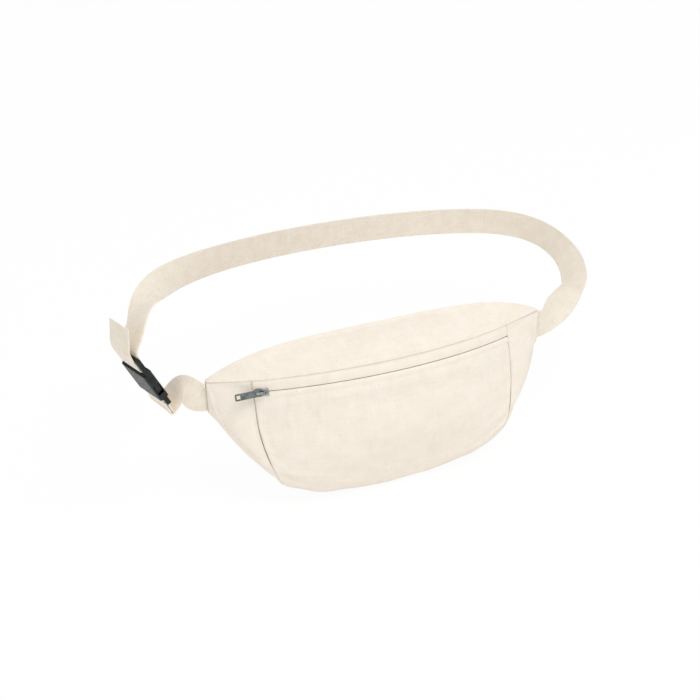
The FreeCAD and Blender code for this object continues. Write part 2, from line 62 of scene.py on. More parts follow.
# ---- Front panel ----
# One piece of unbleached cotton canvas, full at the belly and turned under along the zip as the lower lip.
# It is sewn to the side panels and to the back from the inside, so its edges roll in at every seam.
HALF_LENGTH, CORNER_X, CORNER_Z = 0.172, 0.109, -0.063
BELLY_DEPTH, BELLY_Z, KEEL_Z, BACK_BOTTOM = 0.070, -0.018, -0.084, -0.076
ZIP_END_X, ZIP_MID_DEPTH, ZIP_MID_Z = 0.1316, 0.057, 0.047
ZIP_RISE, ZIP_SET_BACK, TAPE_LOWER = 0.0125, 0.036, 0.012
CANVAS, REAR = 0.0012, -0.0015
LIP = 0.0002               # each folded lip to the zip line
SEAM_ROLL = 0.00065        # how deep an edge rolls in at a seam
ALLOWANCE = 0.0025         # edge of each piece, turned in behind its seam
CLOSING = 0.0004           # how far the two pieces of a seam press into each other
DENTS, SMALL_DENTS, SMALL_DENT_SHARE, PUCKERS = 24, 61, 0.45, 190    # folds to the metre, and a share
DENT_EDGE = 0.014          # dents fade out this near to a seam
PUCKER_FAR, PUCKER_NEAR = 0.010, 0.0022    # puckers lie between these distances from a seam
# The second width is how far from a seam the painted shade in the cloth's colour reaches.
ROLL_WIDTH, PAINTED_SHADE_WIDTH = 0.0017, 0.0006

ZIP_SAG = math.hypot(ZIP_RISE, ZIP_SET_BACK)
ZIP_R = (ZIP_END_X ** 2 + ZIP_SAG ** 2) / (2 * ZIP_SAG)
ZIP_HALF_ANGLE = math.asin(ZIP_END_X / ZIP_R)
TILT = math.atan2(ZIP_RISE, ZIP_SET_BACK)
ZIP_OUT = Vector((0, -math.cos(TILT), math.sin(TILT)))
ZIP_UP = Vector((0, math.sin(TILT), math.cos(TILT)))
ZIP_CENTRE = Vector((0, -ZIP_MID_DEPTH, ZIP_MID_Z)) - ZIP_OUT * ZIP_R


def zip_point(angle, up=0.0, inward=0.0):
    """A point beside the zip: angle from its middle, distance above its line, depth under the canvas face."""
    radial = Vector((math.sin(angle), 0, 0)) + ZIP_OUT * math.cos(angle)
    return ZIP_CENTRE + radial * (ZIP_R - inward) + ZIP_UP * up


def smooth_through(points, count):
    """A smooth line through its points, at count even steps."""
    p = np.array(points, float)
    t = np.concatenate([[0], np.cumsum(np.linalg.norm(np.diff(p, axis=0), axis=1))])
    h, n = np.diff(t), len(p)
    a, b = np.zeros((n, n)), np.zeros((n, 3))
    a[0, 0] = a[-1, -1] = 1
    for i in range(1, n - 1):
        a[i, i - 1:i + 2] = h[i - 1], 2 * (h[i - 1] + h[i]), h[i]
        b[i] = 6 * ((p[i + 1] - p[i]) / h[i] - (p[i] - p[i - 1]) / h[i - 1])
    m = np.linalg.solve(a, b)
    line = []
    for x in np.linspace(0, t[-1], count):
        i = min(int(np.searchsorted(t, x, side="right")) - 1, n - 2)
        u, v = (t[i + 1] - x) / h[i], (x - t[i]) / h[i]
        bend = ((u ** 3 - u) * m[i] + (v ** 3 - v) * m[i + 1]) * h[i] ** 2 / 6
        line.append(u * p[i] + v * p[i + 1] + bend)
    return line


def outward(grid):
    """The direction that each point of a laid grid faces: down its rows, then across its columns."""
    down, across = np.gradient(grid, axis=0), np.gradient(grid, axis=1)
    normal = np.cross(down, across)
    return normal / np.maximum(np.linalg.norm(normal, axis=2, keepdims=True), 1e-12)


def seam_distance(grid, sewn):
    """How far each point lies from the nearest sewn edge. Edges are t, b, l and r."""
    edges = {"t": grid[:1], "b": grid[-1:], "l": grid[:, :1], "r": grid[:, -1:]}
    return np.min([np.linalg.norm(grid - edges[e], axis=2) for e in sewn], axis=0)


def turned_in(grid, normal, painted_shade, edge):
    """Adds the seam allowance of one edge, turned in behind the seam so that both pieces close on each other."""
    axis, far = int(edge in "lr"), edge in "br"
    g, n, c = (np.moveaxis(a, axis, 0)[::-1 if far else 1] for a in (grid, normal, painted_shade))
    away = g[0] - g[1]
    edge_line = g[0] + away / np.linalg.norm(away, axis=1, keepdims=True) * CLOSING
    g = np.concatenate([[edge_line - n[0] * ALLOWANCE], [edge_line], g[1:]])
    # The turned-in allowance gets the full painted seam shade.
    n, c = np.concatenate([n[:1], n]), np.concatenate([np.ones_like(c[:1]), c])
    return tuple(np.moveaxis(a[::-1 if far else 1], 0, axis) for a in (g, n, c))


def fading(distance, width):
    """1 at an edge, falling softly to nothing beyond the width."""
    return np.exp(-(distance / width) ** 2)


def eased(grid, sewn, dent=0.0013, pucker=0.0003, roll=SEAM_ROLL, stiff_top=0.0):
    """Cloth handled and stuffed: broad soft dents, small puckers beside the seams, edges rolled in at them.
    The cloth stays flat for a width of stiff_top under its top edge, where a tape backs it."""
    distance, normal = seam_distance(grid, sewn), outward(grid)
    loose = distance
    if stiff_top:
        loose = np.minimum(distance, np.maximum(0, seam_distance(grid, "t") - stiff_top))
    rise = -roll * fading(distance, ROLL_WIDTH)
    near_seam = fading(distance, PUCKER_FAR) * (1 - fading(distance, PUCKER_NEAR))
    free = 1 - fading(loose, DENT_EDGE)
    for i, j in np.ndindex(distance.shape):
        p = Vector(grid[i, j])
        broad = noise.noise(p * DENTS) + SMALL_DENT_SHARE * noise.noise(p * SMALL_DENTS + Vector((3, 1, 7)))
        rise[i, j] += dent * free[i, j] * broad + pucker * near_seam[i, j] * noise.noise(p * PUCKERS)
    # Beside each sewn edge the colour takes painted shade, standing in for the shadow in the seam's valley.
    grid, painted_shade = grid + normal * rise[..., None], fading(distance, PAINTED_SHADE_WIDTH)
    for edge in sewn:
        grid, normal, painted_shade = turned_in(grid, normal, painted_shade, edge)
    return grid, painted_shade


def length_along(grid, axis):
    """How far each row or column lies from the first, measured along the cloth."""
    steps = np.linalg.norm(np.diff(grid, axis=axis), axis=2).mean(axis=1 - axis)
    return np.concatenate([[0], np.cumsum(steps)])


def new_piece(name, bm, round_sides=False):
    """Makes the shape a piece of the scene; round_sides smooths its walls and leaves its caps flat."""
    mesh = bpy.data.meshes.new(name)
    bm.to_mesh(mesh)
    bm.free()
    if round_sides:
        for face in mesh.polygons:
            face.use_smooth = len(face.vertices) == 4
    piece = bpy.data.objects.new(name, mesh)
    bpy.context.scene.collection.objects.link(piece)
    return piece


def laid_cloth(name, grid, painted_shade=None, held_rows=2):
    """A flat cut of cloth, laid onto a grid of points. It carries its weave's own map, in metres, and how much
    painted shade darkens it beside its seams; the rows and columns next to its edges are held when it settles."""
    rows, columns = grid.shape[0] - 1, grid.shape[1] - 1
    bm = bmesh.new()
    uv = bm.loops.layers.uv.new("UVMap")
    painted_shade_layer = bm.verts.layers.float.new("painted_shade")
    bmesh.ops.create_grid(bm, x_segments=columns, y_segments=rows, size=1)
    across, down = length_along(grid, 1), length_along(grid, 0)
    place = {v: (round((v.co.y + 1) / 2 * rows), round((v.co.x + 1) / 2 * columns)) for v in bm.verts}
    for v, (i, j) in place.items():
        v.co = grid[i, j]
        v[painted_shade_layer] = 0 if painted_shade is None else painted_shade[i, j]
    for face in bm.faces:
        face.smooth = True
        for loop in face.loops:
            i, j = place[loop.vert]
            loop[uv].uv = across[j], down[i]
    bmesh.ops.reverse_faces(bm, faces=bm.faces)
    bm.verts.index_update()
    held = [v.index for v, (i, j) in place.items() if i < held_rows or min(rows - i, j, columns - j) < 2]
    cloth = new_piece(name, bm)
    cloth.vertex_groups.new(name="sewn").add(held, 1, "REPLACE")
    return cloth


def settled(cloth, slack, pressure, cap, frames=14):
    """The cloth finds its own small folds between its sewn edges; no point moves more than cap."""
    sim = cloth.modifiers.new("Cloth", "CLOTH")
    s = sim.settings
    s.quality, s.mass, s.air_damping = 6, 0.25, 4
    s.tension_stiffness = s.compression_stiffness = 30
    s.shear_stiffness, s.bending_stiffness = 12, 1.6
    s.vertex_group_mass = "sewn"
    s.use_pressure, s.uniform_pressure_force = True, pressure
    s.shrink_min = s.shrink_max = -slack
    s.effector_weights.gravity = 0.15
    sim.collision_settings.use_collision = False
    sim.point_cache.frame_start, sim.point_cache.frame_end = 1, frames
    for step in range(1, frames + 1):
        bpy.context.scene.frame_set(step)
    moved = cloth.evaluated_get(bpy.context.evaluated_depsgraph_get())
    places = [v.co.copy() for v in moved.data.vertices]
    cloth.modifiers.clear()
    for v, place in zip(cloth.data.vertices, places):
        shift = place - v.co
        v.co += shift * min(1, cap / max(shift.length, 1e-9))
    bpy.context.scene.frame_set(1)
    return cloth


def given_thickness(cloth, thickness, offset):
    """Gives the cloth its real thickness and rounds its edges, and makes both part of the mesh."""
    wall = cloth.modifiers.new("Solidify", "SOLIDIFY")
    wall.thickness, wall.offset = thickness, offset
    fine = cloth.modifiers.new("Subdivision", "SUBSURF")
    fine.levels = fine.render_levels = 1
    graph = bpy.context.evaluated_depsgraph_get()
    mesh = bpy.data.meshes.new_from_object(cloth.evaluated_get(graph), depsgraph=graph)
    cloth.modifiers.clear()
    cloth.data = mesh
    for face in mesh.polygons:
        face.use_smooth = True
    return cloth


def new_group(name, inputs, outputs):
    """An empty effect with its named values going in and coming out."""
    group = bpy.data.node_groups.new(name, "ShaderNodeTree")
    for label, kind, value in inputs:
        socket = group.interface.new_socket(label, in_out="INPUT", socket_type=kind)
        if value is not None:
            socket.default_value = value
    for label in outputs:
        group.interface.new_socket(label, in_out="OUTPUT", socket_type="NodeSocketFloat")
    return group, group.nodes.new("NodeGroupInput").outputs, group.nodes.new("NodeGroupOutput").inputs


def new_finish(name):
    """A new material: itself, its nodes, its shader and its texture coordinates."""
    material = bpy.data.materials.new(name)
    material.use_nodes = True
    tree = material.node_tree
    return material, tree, tree.nodes["Principled BSDF"], tree.nodes.new("ShaderNodeTexCoord").outputs


def math_node(tree, kind, a, b=None, clamp=False):
    """One sum on two values or links."""
    n = tree.nodes.new("ShaderNodeMath")
    n.operation, n.use_clamp = kind, clamp
    for socket, value in zip(n.inputs, (a, b)):
        if isinstance(value, bpy.types.NodeSocket):
            tree.links.new(value, socket)
        elif value is not None:
            socket.default_value = value
    return n.outputs[0]


def noise_value(tree, vector, scale, detail=3.0, roughness=0.5):
    """Cloudy noise of so many patches to the metre."""
    n = tree.nodes.new("ShaderNodeTexNoise")
    tree.links.new(vector, n.inputs["Vector"])
    n.inputs["Scale"].default_value = scale
    n.inputs["Detail"].default_value = detail
    n.inputs["Roughness"].default_value = roughness
    return n.outputs["Fac"]


def ramp(tree, value, stops):
    """Turns a value into a colour that changes between the stops."""
    n = tree.nodes.new("ShaderNodeValToRGB")
    tree.links.new(value, n.inputs["Fac"])
    marks = n.color_ramp.elements
    while len(marks) < len(stops):
        marks.new(0.5)
    for mark, (place, colour) in zip(marks, stops):
        mark.position, mark.color = place, (*colour, 1)
    return n.outputs["Color"]


def mixed(tree, share, a, b):
    """Colour a with colour b laid over it by share."""
    n = tree.nodes.new("ShaderNodeMix")
    n.data_type = "RGBA"
    for socket, value in ((n.inputs["Factor"], share), (n.inputs["A"], a), (n.inputs["B"], b)):
        if isinstance(value, bpy.types.NodeSocket):
            tree.links.new(value, socket)
        else:
            socket.default_value = value if isinstance(value, float) else (*value, 1)
    return n.outputs["Result"]


def roughened(tree, shader, value, spread, least):
    """Roughness that runs from least up by spread, as the value does."""
    uneven = math_node(tree, "MULTIPLY", value, spread)
    tree.links.new(math_node(tree, "ADD", uneven, least), shader.inputs["Roughness"])


def raised(tree, shader, height, relief, strength):
    """Fine relief of the surface, too small to model."""
    bump = tree.nodes.new("ShaderNodeBump")
    bump.inputs["Distance"].default_value = relief
    bump.inputs["Strength"].default_value = strength
    tree.links.new(height, bump.inputs["Height"])
    tree.links.new(bump.outputs["Normal"], shader.inputs["Normal"])


# Plain weave: threads over and under each other, each a little thicker or thinner than the next.
SLUB_WIDTHS, SLUB_LENGTHS = 900, 45        # slubs to the metre across a thread and along it
weave, weave_in, weave_out = new_group(
    "Plain weave",
    [("Map", "NodeSocketVector", None), ("Across", "NodeSocketFloat", 1500.0),
     ("Along", "NodeSocketFloat", 1500.0), ("Slub", "NodeSocketFloat", 0.4)],
    ("Height", "Shade"))
directions = weave.nodes.new("ShaderNodeSeparateXYZ")
weave.links.new(weave_in["Map"], directions.inputs[0])
warp = math_node(weave, "SINE", math_node(weave, "MULTIPLY", directions.outputs["X"], weave_in["Across"]))
weft = math_node(weave, "SINE", math_node(weave, "MULTIPLY", directions.outputs["Y"], weave_in["Along"]))
over = math_node(weave, "MULTIPLY", warp, weft)
slubs = -1.0
for stretch in ((SLUB_WIDTHS, SLUB_LENGTHS, 1), (SLUB_LENGTHS, SLUB_WIDTHS, 1)):
    drawn_out = weave.nodes.new("ShaderNodeMapping")
    drawn_out.inputs["Scale"].default_value = stretch
    weave.links.new(weave_in["Map"], drawn_out.inputs["Vector"])
    slubs = math_node(weave, "ADD", noise_value(weave, drawn_out.outputs[0], 1.0, 2.0), slubs)
weave.links.new(math_node(weave, "ADD", math_node(weave, "MULTIPLY", over, 0.5),
                          math_node(weave, "MULTIPLY", slubs, weave_in["Slub"])), weave_out["Height"])
weave.links.new(math_node(weave, "ADD", math_node(weave, "MULTIPLY", slubs, 0.9), 0.5, True), weave_out["Shade"])

# Seed flecks: the few dark specks of husk left in unbleached cotton.
FLECK_SIZE, BARE_SHARE = 0.075, 0.4        # part of its cell that a fleck takes, and cells that have none
flecks, flecks_in, flecks_out = new_group(
    "Seed flecks", [("Place", "NodeSocketVector", None), ("Spread", "NodeSocketFloat", 170.0)], ("Mask",))
cells = flecks.nodes.new("ShaderNodeTexVoronoi")
flecks.links.new(flecks_in["Place"], cells.inputs["Vector"])
flecks.links.new(flecks_in["Spread"], cells.inputs["Scale"])
inside = math_node(flecks, "LESS_THAN", cells.outputs["Distance"], FLECK_SIZE)
lot = flecks.nodes.new("ShaderNodeSeparateColor")
flecks.links.new(cells.outputs["Color"], lot.inputs[0])
chosen = math_node(flecks, "GREATER_THAN", lot.outputs[0], BARE_SHARE)
flecks.links.new(math_node(flecks, "MULTIPLY", inside, chosen), flecks_out["Mask"])

# The first colour is painted shade laid along the seams for the shadow in their valleys; the second is the husk
# specks' own colour.
PAINTED_SEAM_SHADE, HUSK = (0.42, 0.36, 0.28), (0.20, 0.13, 0.07)


def cloth_material(name, light, dark, threads, slub, relief, fleck=0.3):
    """Cotton: woven relief, threads of slightly different tone, painted shade along the seams, and dark specks.
    Threads gives how many threads there are to the metre across and along."""
    material, tree, shader, place = new_finish(name)
    cloth = tree.nodes.new("ShaderNodeGroup")
    cloth.node_tree = weave
    tree.links.new(place["UV"], cloth.inputs["Map"])
    cloth.inputs["Across"].default_value = 2 * math.pi * threads[0]
    cloth.inputs["Along"].default_value = 2 * math.pi * threads[1]
    cloth.inputs["Slub"].default_value = slub
    clouds = math_node(tree, "MULTIPLY", noise_value(tree, place["Object"], 70, 6, 0.65), 0.6)
    tone = math_node(tree, "ADD", math_node(tree, "MULTIPLY", cloth.outputs["Shade"], 0.4), clouds)
    colour = ramp(tree, tone, [(0.3, dark), (0.6, light)])
    # Painted shade: the colour darkens beside the seams, by the attribute laid on the cloth.
    painted_shade = tree.nodes.new("ShaderNodeAttribute")
    painted_shade.attribute_name = "painted_shade"
    colour = mixed(tree, math_node(tree, "MULTIPLY", painted_shade.outputs["Fac"], 0.45), colour, PAINTED_SEAM_SHADE)
    if fleck:
        specks = tree.nodes.new("ShaderNodeGroup")
        specks.node_tree = flecks
        tree.links.new(place["Object"], specks.inputs["Place"])
        colour = mixed(tree, math_node(tree, "MULTIPLY", specks.outputs["Mask"], fleck), colour, HUSK)
    tree.links.new(colour, shader.inputs["Base Color"])
    roughened(tree, shader, noise_value(tree, place["Object"], 60, 3), 0.14, 0.79)
    raised(tree, shader, cloth.outputs["Height"], relief, 0.6)
    shader.inputs["Sheen Weight"].default_value = 0.12
    shader.inputs["Sheen Roughness"].default_value = 0.5
    shader.inputs["Specular IOR Level"].default_value = 0.25
    return material


canvas = cloth_material("Natural canvas", (0.915, 0.845, 0.745), (0.850, 0.772, 0.665),
                        (1100, 1100), 0.5, 0.00012)

# Rows of the lips and of the band under them: distance above the zip line, depth under the canvas face.
ZIP_LOW = TAPE_LOWER + 0.001
LIP_ROWS = [(-LIP, 0.00135), (-LIP, 0.0008), (-LIP - 0.0002, 0.0003), (-LIP - 0.0009, 0.0)]
BAND = LIP_ROWS + [(-0.0022, -0.0005), (-0.0040, -0.0006), (-0.0056, -0.0002), (-0.0066, 0.0003),
                   (-0.0077, 0.0001), (-0.0092, 0.0), (-0.0110, 0.0)]
# The middle of the front, and its side seam, from under the zip down to the back.
MIDDLE = [
    zip_point(0, -ZIP_LOW),
    (0, -(BELLY_DEPTH - 0.0025), BELLY_Z + 0.026),
    (0, -BELLY_DEPTH, BELLY_Z),
    (0, -(BELLY_DEPTH - 0.006), BELLY_Z - 0.031),
    (0, -(BELLY_DEPTH - 0.023), KEEL_Z + 0.003),
    (0, -0.022, KEEL_Z),
    (0, REAR, BACK_BOTTOM),
]
SIDE_SEAM = [
    zip_point(ZIP_HALF_ANGLE, -ZIP_LOW),
    (ZIP_END_X, -0.031, 0),
    (CORNER_X + 0.019, -0.039, -0.024),
    (CORNER_X + 0.012, -0.046, -0.048),
    (CORNER_X + 0.005, -0.041, CORNER_Z - 0.001),
    (CORNER_X + 0.001, -0.020, CORNER_Z - 0.005),
    (CORNER_X, REAR, CORNER_Z),
]
CURVE_ROWS = 58
MIDDLE_LINE = smooth_through(MIDDLE, CURVE_ROWS)
SEAM_LINE = smooth_through(SIDE_SEAM, CURVE_ROWS)


def closer_to_ends(count):
    """Steps from -1 to 1 that lie closer together towards both ends."""
    return [0.55 * u + 0.45 * math.sin(math.pi / 2 * u) for u in np.linspace(-1, 1, count)]


def front_grid():
    """Rows from the lip down to the back, columns from the left side seam to the right one."""
    steps = closer_to_ends(97)
    grid = [[zip_point(ZIP_HALF_ANGLE * u, up, inward) for u in steps] for up, inward in BAND]
    for k, (middle, side) in enumerate(zip(MIDDLE_LINE, SEAM_LINE)):
        boxy, line = k / (CURVE_ROWS - 1), []
        for u in steps:
            arc = (1 - math.cos(ZIP_HALF_ANGLE * u)) / (1 - math.cos(ZIP_HALF_ANGLE))
            share = arc + (abs(u) ** 4 - arc) * boxy
            point = middle + (side - middle) * share
            line.append((side[0] * math.sin(ZIP_HALF_ANGLE * u) / math.sin(ZIP_HALF_ANGLE), point[1], point[2]))
        grid.append(line)
    return np.array(grid, float)


front = laid_cloth("front_canvas", *eased(front_grid(), "blr", dent=0.0021, stiff_top=0.014),
                   held_rows=len(BAND) + 1)
settled(front, slack=0.006, pressure=0.6, cap=0.003)
given_thickness(front, CANVAS, -1)
front.data.materials.append(canvas)
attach(front, "pouch")
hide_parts("front_panel")

# ---- Side panels ----
# A wedge of the same canvas at each end, from the side seam to the tip that holds the webbing.
# Each is sewn along the front, under the top panel and to the back, right side in, then turned.
TIP_TOP, TIP_BOTTOM, TIP_DEPTH = 0.046, 0.012, 0.0052
PLACKET, SIDE_FULLNESS = 0.011, 0.005
FULLEST_WAY = Vector((0.55, -0.65, -0.5))
SEAM_STEPS = 18            # steps down the side seam: one over the zip, two under it, the rest below


def side_grid(side):
    """Rows from the top seam down to the back, columns from the side seam to the tip."""
    rows = [(1 - up / PLACKET, zip_point(ZIP_HALF_ANGLE, up))
            for up in (PLACKET, 0.0095, 0.0075, 0.005, 0.0025, 0.0)]
    rows += [(1 + 2 * part, zip_point(ZIP_HALF_ANGLE, -ZIP_LOW * part)) for part in (0.2, 0.4, 0.6, 0.8)]
    rows += [(3 + (SEAM_STEPS - 3) * k / (CURVE_ROWS - 1), Vector(p)) for k, p in enumerate(SEAM_LINE)]
    shares = [(1 + u) / 2 for u in closer_to_ends(31)]
    grid = []
    for step, start in rows:
        height = TIP_TOP + (TIP_BOTTOM - TIP_TOP) * min(1, step / (SEAM_STEPS - 1))
        under = max(0, step - (SEAM_STEPS - 1))
        end = Vector((HALF_LENGTH, -TIP_DEPTH + (REAR + TIP_DEPTH) * under, height))
        puff = FULLEST_WAY * (SIDE_FULLNESS * math.sin(math.pi * step / SEAM_STEPS))
        grid.append([start.lerp(end, s) + puff * (4 * s * (1 - s)) for s in shares])
    grid = np.array(grid, float)
    if side < 0:
        grid = grid[:, ::-1] * (-1, 1, 1)
    return grid


for side, label in ((1, "right"), (-1, "left")):
    sewn = "tbl" if side > 0 else "tbr"
    wedge = laid_cloth(f"side_canvas_{label}", *eased(side_grid(side), sewn, dent=0.0012))
    settled(wedge, slack=0.006, pressure=0.4, cap=0.002)
    given_thickness(wedge, CANVAS, -1)
    wedge.data.materials.append(canvas)
    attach(wedge, "pouch")
    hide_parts(f"side_panel_{label}")

# ---- Top panel ----
# The canvas roof between the zip and the back, slightly puffed. On the pouch its rear seam is the fold that the
# mouth opens on, and its front seam carries the zip's upper lip and lifts with it, while its tips stay sewn down;
# here the roof is built closed.
BACK_ARCH, CROWN = 0.0245, 0.005
MOUTH_END = 0.116          # beyond this the slider, at either end of its run, holds the lips together
FOLD_SHARE = 0.4           # part of the roof, from its rear seam, that bends when the mouth opens


def back_top(x):
    """The height of the rear seam."""
    return TIP_TOP + BACK_ARCH * (1 - abs(x / HALF_LENGTH) ** 4)


def top_seam(x):
    """The front edge of the roof: along the zip, then straight to the tip."""
    if abs(x) <= ZIP_END_X:
        return zip_point(math.asin(x / ZIP_R), PLACKET)
    end = zip_point(math.copysign(ZIP_HALF_ANGLE, x), PLACKET)
    tip = Vector((math.copysign(HALF_LENGTH, x), -TIP_DEPTH, TIP_TOP))
    return end.lerp(tip, (abs(x) - ZIP_END_X) / (HALF_LENGTH - ZIP_END_X))


def top_grid():
    """Rows from the rear seam to the front one, columns from the left tip to the right."""
    grid = []
    for v in [(1 + u) / 2 for u in closer_to_ends(37)]:
        line = []
        for u in closer_to_ends(125):
            edge = top_seam(HALF_LENGTH * u)
            rear = Vector((edge.x, 0, back_top(HALF_LENGTH * u)))
            rise = CROWN * 4 * v * (1 - v) * abs(edge.y) / ZIP_MID_DEPTH
            line.append(rear.lerp(edge, v) + Vector((0, 0, rise)))
        grid.append(line)
    return np.array(grid, float)


def eased_in(share):
    """The same share from 0 to 1, but starting and ending gently."""
    return share * share * (3 - 2 * share)


def opens_with_mouth(piece, rear_fold=False):
    """Bakes the piece's placement into its mesh and works out how far each point would lift with the mouth, fully
    in the middle and not at the zip's ends nor, with rear_fold, at the rear seam; that lift is never applied.
    """
    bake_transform(piece)
    for v in piece.data.vertices:
        share = eased_in(max(0.0, 1 - (v.co.x / MOUTH_END) ** 2))
        if rear_fold:
            seam = min(-1e-4, top_seam(max(-HALF_LENGTH, min(HALF_LENGTH, v.co.x))).y)
            share *= eased_in(min(1, max(0, v.co.y / seam) / FOLD_SHARE))


roof = laid_cloth("top_canvas", *eased(top_grid(), "b", dent=0.0016, stiff_top=0.0005))
settled(roof, slack=0.006, pressure=0.4, cap=0.0025)
given_thickness(roof, CANVAS, -1)
roof.data.materials.append(canvas)
opens_with_mouth(roof, rear_fold=True)
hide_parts("top_panel")

# ---- Back panel ----
# A flat piece of canvas that lies against the wearer, sewn all round to the walls and the roof. It is cut
# straight down to the corners and curves under the belly between them.


def back_bottom(x):
    """The height of the lower edge."""
    if abs(x) > CORNER_X:
        share = (abs(x) - CORNER_X) / (HALF_LENGTH - CORNER_X)
        return CORNER_Z + (TIP_BOTTOM - CORNER_Z) * share
    return CORNER_Z - (CORNER_Z - BACK_BOTTOM) * (1 - abs(x / CORNER_X) ** 3)


def back_grid():
    """Rows from the rear seam down to the lower edge, columns from the right tip to the left."""
    grid = []
    for v in [(1 + u) / 2 for u in closer_to_ends(49)]:
        line = []
        for u in closer_to_ends(101):
            x = HALF_LENGTH * u
            top, bottom = back_top(x) - 0.8 * CANVAS, back_bottom(x)
            line.append((-x, 0, top + (bottom - top) * v))
        grid.append(line)
    return np.array(grid, float)


rear = laid_cloth("back_canvas", *eased(back_grid(), "b", dent=0.0005, roll=0.0006))
given_thickness(rear, CANVAS, -1)
rear.data.materials.append(canvas)
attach(rear, "pouch")
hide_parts("back_panel")

# ---- Zip ----
# A concealed zip. The upper lip is a narrow folded strip of canvas under the top seam; both lips are sewn
# to woven polyester tapes, whose edges carry a nylon coil.
TAPE, TAPE_UPPER, ZIP_CLEAR = 0.0006, 0.0076, 0.0003
COIL_HEIGHT, COIL_PITCH, COIL_R = 0.0024, 0.0015, 0.0004
TAPE_INWARD = CANVAS + ZIP_CLEAR
LIP_GAP = 0.0015

# Rows of the upper lip, from the top seam down: distance above the zip line, depth under the canvas face.
upper_rows = [(PLACKET, 0.0), (0.0103, 0.0), (0.0096, -0.0003), (0.0085, -0.0006), (0.0068, -0.0009),
              (0.0048, -0.0009), (0.0028, -0.0005)]
upper_rows += [(-up, inward) for up, inward in reversed(LIP_ROWS)]
upper_grid = np.array([[zip_point(ZIP_HALF_ANGLE * u, up, inward) for u in closer_to_ends(97)]
                       for up, inward in upper_rows], float)
upper_lip = laid_cloth("upper_lip", *eased(upper_grid, "tlr", dent=0.0))
given_thickness(upper_lip, CANVAS, -1)
upper_lip.data.materials.append(canvas)
opens_with_mouth(upper_lip)
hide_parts("zip_placket")

tape_cloth = cloth_material("Zip tape", (0.80, 0.74, 0.65), (0.66, 0.60, 0.51), (1400, 700), 0.3, 0.0001, 0)
coil_nylon, coil_tree, coil_shader, coil_place = new_finish("Zip coil nylon")
coil_tree.links.new(ramp(coil_tree, noise_value(coil_tree, coil_place["Object"], 300),
                         [(0.3, (0.50, 0.46, 0.40)), (0.7, (0.64, 0.59, 0.52))]),
                    coil_shader.inputs["Base Color"])
roughened(coil_tree, coil_shader, noise_value(coil_tree, coil_place["Object"], 500), 0.2, 0.28)

END_ANGLE = ZIP_HALF_ANGLE - (CANVAS + ZIP_CLEAR) / ZIP_R
for label, low, high, body in (("upper", LIP_GAP / 2, TAPE_UPPER, "mouth"),
                               ("lower", -TAPE_LOWER, -LIP_GAP / 2, "pouch")):
    angles = np.linspace(-END_ANGLE, END_ANGLE, 81)
    tape_grid = np.array([[zip_point(a, high + (low - high) * v, TAPE_INWARD) for a in angles]
                          for v in (0, 0.1, 0.35, 0.65, 0.9, 1)], float)
    tape = laid_cloth(f"tape_{label}", tape_grid)
    given_thickness(tape, TAPE, -1)
    tape.data.materials.append(tape_cloth)

    # One tooth for each turn of the coil; the upper teeth lie half a step on from the lower ones.
    bm = bmesh.new()
    row, shift = (LIP_GAP + COIL_HEIGHT) / 2, 0.5
    if body == "pouch":
        row, shift = -row, 0.0
    teeth = int(2 * END_ANGLE * ZIP_R / COIL_PITCH)
    for k in range(teeth):
        angle = -END_ANGLE + 2 * END_ANGLE * (k + shift) / teeth
        at = zip_point(angle, row, TAPE_INWARD + TAPE + COIL_R + 0.0001)
        along = Vector((math.cos(angle), 0, 0)) - ZIP_OUT * math.sin(angle)
        turn = Matrix((along, along.cross(ZIP_UP) * -1, ZIP_UP)).transposed().to_4x4()
        bmesh.ops.create_cone(bm, cap_ends=True, segments=8, radius1=COIL_R, radius2=COIL_R * 0.8,
                              depth=COIL_HEIGHT, matrix=Matrix.Translation(at) @ turn)
    bmesh.ops.recalc_face_normals(bm, faces=bm.faces)
    coil = new_piece(f"coil_{label}", bm, round_sides=True)
    coil.data.materials.append(coil_nylon)
    for piece, kind in ((tape, "tape"), (coil, "coil")):
        if body == "mouth":
            opens_with_mouth(piece)
        else:
            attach(piece, body)
        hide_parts(f"zip_{kind}_{label}")

# ---- Slider and pull ----
# Die-cast zinc, nickel plated: a slider that runs on the coils and has a bridge, painted lighter as painted
# highlight, and a darker flat pull with a square window, which swings on the bridge.


def nickel_finish(name, dark, light, edge):
    """Plated metal, unevenly rubbed, with a painted highlight that lightens its colour where it turns away from
    the eye.
    """
    plated, tree, shader, place = new_finish(name)
    rubbed = noise_value(tree, place["Object"], 180, 3)
    highlight_share = tree.nodes.new("ShaderNodeLayerWeight")
    highlight_share.inputs["Blend"].default_value = 0.35
    worn = ramp(tree, rubbed, [(0.35, dark), (0.68, light)])
    # Painted highlight: towards grazing angles the colour blends into the edge colour, standing in for reflected
    # light.
    tree.links.new(mixed(tree, highlight_share.outputs["Facing"], worn, edge), shader.inputs["Base Color"])
    roughened(tree, shader, rubbed, 0.3, 0.16)
    raised(tree, shader, noise_value(tree, place["Object"], 900, 2), 0.00004, 0.4)
    shader.inputs["Metallic"].default_value = 1.0
    return plated


def refinished(name, material):
    """A CAD piece that stays as it is, with its real finish."""
    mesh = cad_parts[name].data
    mesh.materials.clear()
    mesh.materials.append(material)


# The slider's nickel is painted lighter than the pull's to stand in for its highlights; the pull keeps its own
# darker tone.
highlit_nickel = nickel_finish("Highlit nickel", (0.17, 0.19, 0.185), (0.42, 0.45, 0.44), (0.80, 0.83, 0.82))
dark_nickel = nickel_finish("Dark nickel", (0.095, 0.112, 0.108), (0.215, 0.238, 0.230), (0.62, 0.65, 0.64))
refinished("zip_slider", highlit_nickel)
refinished("zip_pull", dark_nickel)

